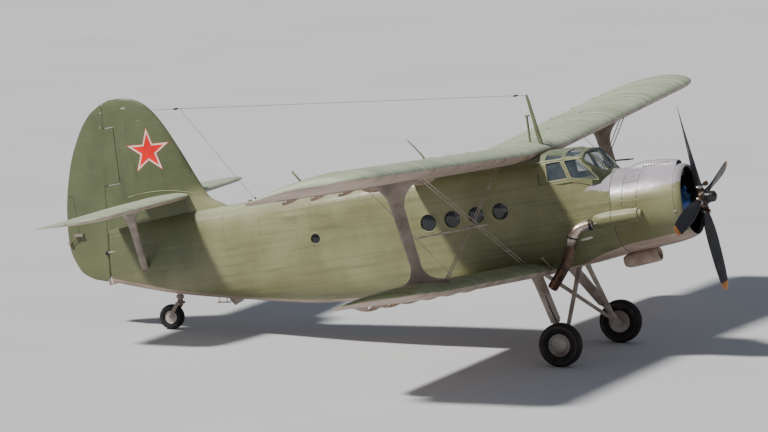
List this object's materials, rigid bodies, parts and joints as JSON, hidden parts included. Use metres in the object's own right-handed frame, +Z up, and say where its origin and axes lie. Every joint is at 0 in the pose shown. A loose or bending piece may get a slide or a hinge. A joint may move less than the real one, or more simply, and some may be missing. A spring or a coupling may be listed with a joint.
{
  "type": "biplane utility aircraft",
  "caption": "Radial-engined utility biplane parked tail down, olive over light grey, with a black propeller, fixed gear and a hollow cabin.",
  "frame": {"origin": "on the ground, under the middle of the aircraft's bounding box", "axes": "+X towards the nose, +Y out to the port wing tips, +Z up, with the aircraft standing tail down on its three wheels"},
  "size_m": [12.902, 18.1824, 4.7395],
  "materials": {
    "olive_paint": "weathered satin",
    "wing_green": "doped fabric, faded",
    "fabric_grey": "doped fabric, satin",
    "strut_grey": "satin",
    "cowl_grey": "faded, dusty",
    "burnt_steel": "heat tinted",
    "blade_black": "satin",
    "tyre_rubber": "worn",
    "engine_dark": "satin, oily",
    "interior_grey": "matt",
    "seat_cloth": "matt",
    "glazing": "clear"
  },
  "bodies": {
    "airframe": {"cabin_shell": "olive_paint", "tail_cone": "olive_paint", "fin": "olive_paint", "canopy_frame": "olive_paint", "cockpit_glazing": "glazing", "flight_deck": "interior_grey", "pilot_seats": "seat_cloth", "instrument_panel": "engine_dark", "engine": "engine_dark", "cowl": "cowl_grey", "nose_scoop": "cowl_grey", "oil_cooler_duct": "cowl_grey", "heater_fairing": "olive_paint", "exhaust_pipe": "burnt_steel", "upper_centre_section": "wing_green", "upper_wing_left": "wing_green", "upper_wing_right": "wing_green", "lower_wing_left": "wing_green", "lower_wing_right": "wing_green", "interplane_strut_left": "strut_grey", "interplane_strut_right": "strut_grey", "flying_wires_left": "strut_grey", "flying_wires_right": "strut_grey", "landing_wires_left": "strut_grey", "landing_wires_right": "strut_grey", "tailplane_left": "wing_green", "tailplane_right": "wing_green", "tailplane_strut_left": "strut_grey", "tailplane_strut_right": "strut_grey", "shock_strut_left": "strut_grey", "shock_strut_right": "strut_grey", "gear_brace_left": "strut_grey", "gear_brace_right": "strut_grey", "tail_shock_strut": "strut_grey", "aerial_mast": "strut_grey"},
    "propeller": {"propeller_hub": "blade_black", "propeller_blade_1": "blade_black", "propeller_blade_2": "blade_black", "propeller_blade_3": "blade_black", "propeller_blade_4": "blade_black"},
    "main_wheel_left": {"main_tyre_left": "tyre_rubber", "main_hub_left": "strut_grey"},
    "main_wheel_right": {"main_tyre_right": "tyre_rubber", "main_hub_right": "strut_grey"},
    "tail_fork": {"tail_fork": "strut_grey"},
    "tail_wheel": {"tail_wheel": "tyre_rubber"},
    "rudder": {"rudder": "fabric_grey"},
    "elevator_left": {"elevator_left": "fabric_grey"},
    "elevator_right": {"elevator_right": "fabric_grey"},
    "aileron_left": {"aileron_left": "fabric_grey"},
    "aileron_right": {"aileron_right": "fabric_grey"},
    "upper_flap_left": {"upper_flap_left": "fabric_grey"},
    "upper_flap_right": {"upper_flap_right": "fabric_grey"},
    "lower_flap_left": {"lower_flap_left": "fabric_grey"},
    "lower_flap_right": {"lower_flap_right": "fabric_grey"},
    "slat_left": {"slat_left": "wing_green"},
    "slat_right": {"slat_right": "wing_green"},
    "cargo_door": {"cargo_door": "olive_paint"},
    "cabin_door": {"cabin_door": "olive_paint"}
  },
  "joints": [
    {"name": "propeller_spin", "type": "hinge", "parent": "airframe", "child": "propeller", "pos_m": [6.08655, 0, 2.98784], "axis": [0.9793, 0, 0.2023], "continuous": true},
    {"name": "main_wheel_left_spin", "type": "hinge", "parent": "airframe", "child": "main_wheel_left", "pos_m": [3.99376, 1.68, 0.4], "axis": [0, 1, 0], "continuous": true},
    {"name": "main_wheel_right_spin", "type": "hinge", "parent": "airframe", "child": "main_wheel_right", "pos_m": [3.99376, -1.68, 0.4], "axis": [0, 1, 0], "continuous": true},
    {"name": "tail_castor", "type": "hinge", "parent": "airframe", "child": "tail_fork", "pos_m": [-4.14131, 0, 0.55766], "axis": [0, 0, 1], "continuous": true},
    {"name": "tail_wheel_spin", "type": "hinge", "parent": "tail_fork", "child": "tail_wheel", "pos_m": [-4.30441, 0, 0.235], "axis": [0, 1, 0], "continuous": true},
    {"name": "rudder_turn", "type": "hinge", "parent": "airframe", "child": "rudder", "pos_m": [-5.66024, 0, 2.49036], "axis": [-0.0565, 0, 0.9984], "range_deg": [-28, 28]},
    {"name": "elevator_left_turn", "type": "hinge", "parent": "airframe", "child": "elevator_left", "pos_m": [-4.92531, 1.87, 2.35115], "axis": [0, 1, 0], "range_deg": [-22.5, 35]},
    {"name": "elevator_right_turn", "type": "hinge", "parent": "airframe", "child": "elevator_right", "pos_m": [-4.92531, -1.87, 2.35115], "axis": [0, 1, 0], "range_deg": [-22.5, 35]},
    {"name": "aileron_left_turn", "type": "hinge", "parent": "airframe", "child": "aileron_left", "pos_m": [1.27308, 6.70491, 3.61531], "axis": [-0.0113, 0.9984, 0.0547], "range_deg": [-14, 30]},
    {"name": "aileron_right_turn", "type": "hinge", "parent": "airframe", "child": "aileron_right", "pos_m": [1.27308, -6.70491, 3.61531], "axis": [0.0113, 0.9984, -0.0547], "range_deg": [-14, 30]},
    {"name": "upper_flap_left_turn", "type": "hinge", "parent": "airframe", "child": "upper_flap_left", "pos_m": [1.34996, 3.0034, 3.27884], "axis": [0.0113, -0.9984, -0.0547], "range_deg": [0, 40]},
    {"name": "upper_flap_right_turn", "type": "hinge", "parent": "airframe", "child": "upper_flap_right", "pos_m": [1.34996, -3.0034, 3.27884], "axis": [-0.0113, -0.9984, 0.0547], "range_deg": [0, 40]},
    {"name": "lower_flap_left_turn", "type": "hinge", "parent": "airframe", "child": "lower_flap_left", "pos_m": [2.10591, 3.98645, 1.39223], "axis": [0.0113, -0.9984, -0.0547], "range_deg": [0, 40]},
    {"name": "lower_flap_right_turn", "type": "hinge", "parent": "airframe", "child": "lower_flap_right", "pos_m": [2.10591, -3.98645, 1.39223], "axis": [-0.0113, -0.9984, 0.0547], "range_deg": [0, 40]},
    {"name": "slat_left_slide", "type": "slide", "parent": "airframe", "child": "slat_left", "axis": [0.9837, 0.0209, -0.1787], "range_m": [0, 0.08]},
    {"name": "slat_right_slide", "type": "slide", "parent": "airframe", "child": "slat_right", "axis": [0.9837, -0.0209, -0.1787], "range_m": [0, 0.08]},
    {"name": "cargo_door_swing", "type": "hinge", "parent": "airframe", "child": "cargo_door", "pos_m": [-0.28111, 0.884, 2.55787], "axis": [0.9793, 0, 0.2023], "range_deg": [0, 80]},
    {"name": "cabin_door_swing", "type": "hinge", "parent": "cargo_door", "child": "cabin_door", "pos_m": [-0.22356, 0.7, 1.76512], "axis": [0.2023, 0, -0.9793], "range_deg": [0, 85]}
  ],
  "couplings": [
    {"joint": "elevator_right_turn", "follows": "elevator_left_turn", "ratio": 1},
    {"joint": "upper_flap_right_turn", "follows": "upper_flap_left_turn", "ratio": 1},
    {"joint": "lower_flap_left_turn", "follows": "upper_flap_left_turn", "ratio": 1},
    {"joint": "lower_flap_right_turn", "follows": "upper_flap_left_turn", "ratio": 1}
  ]
}
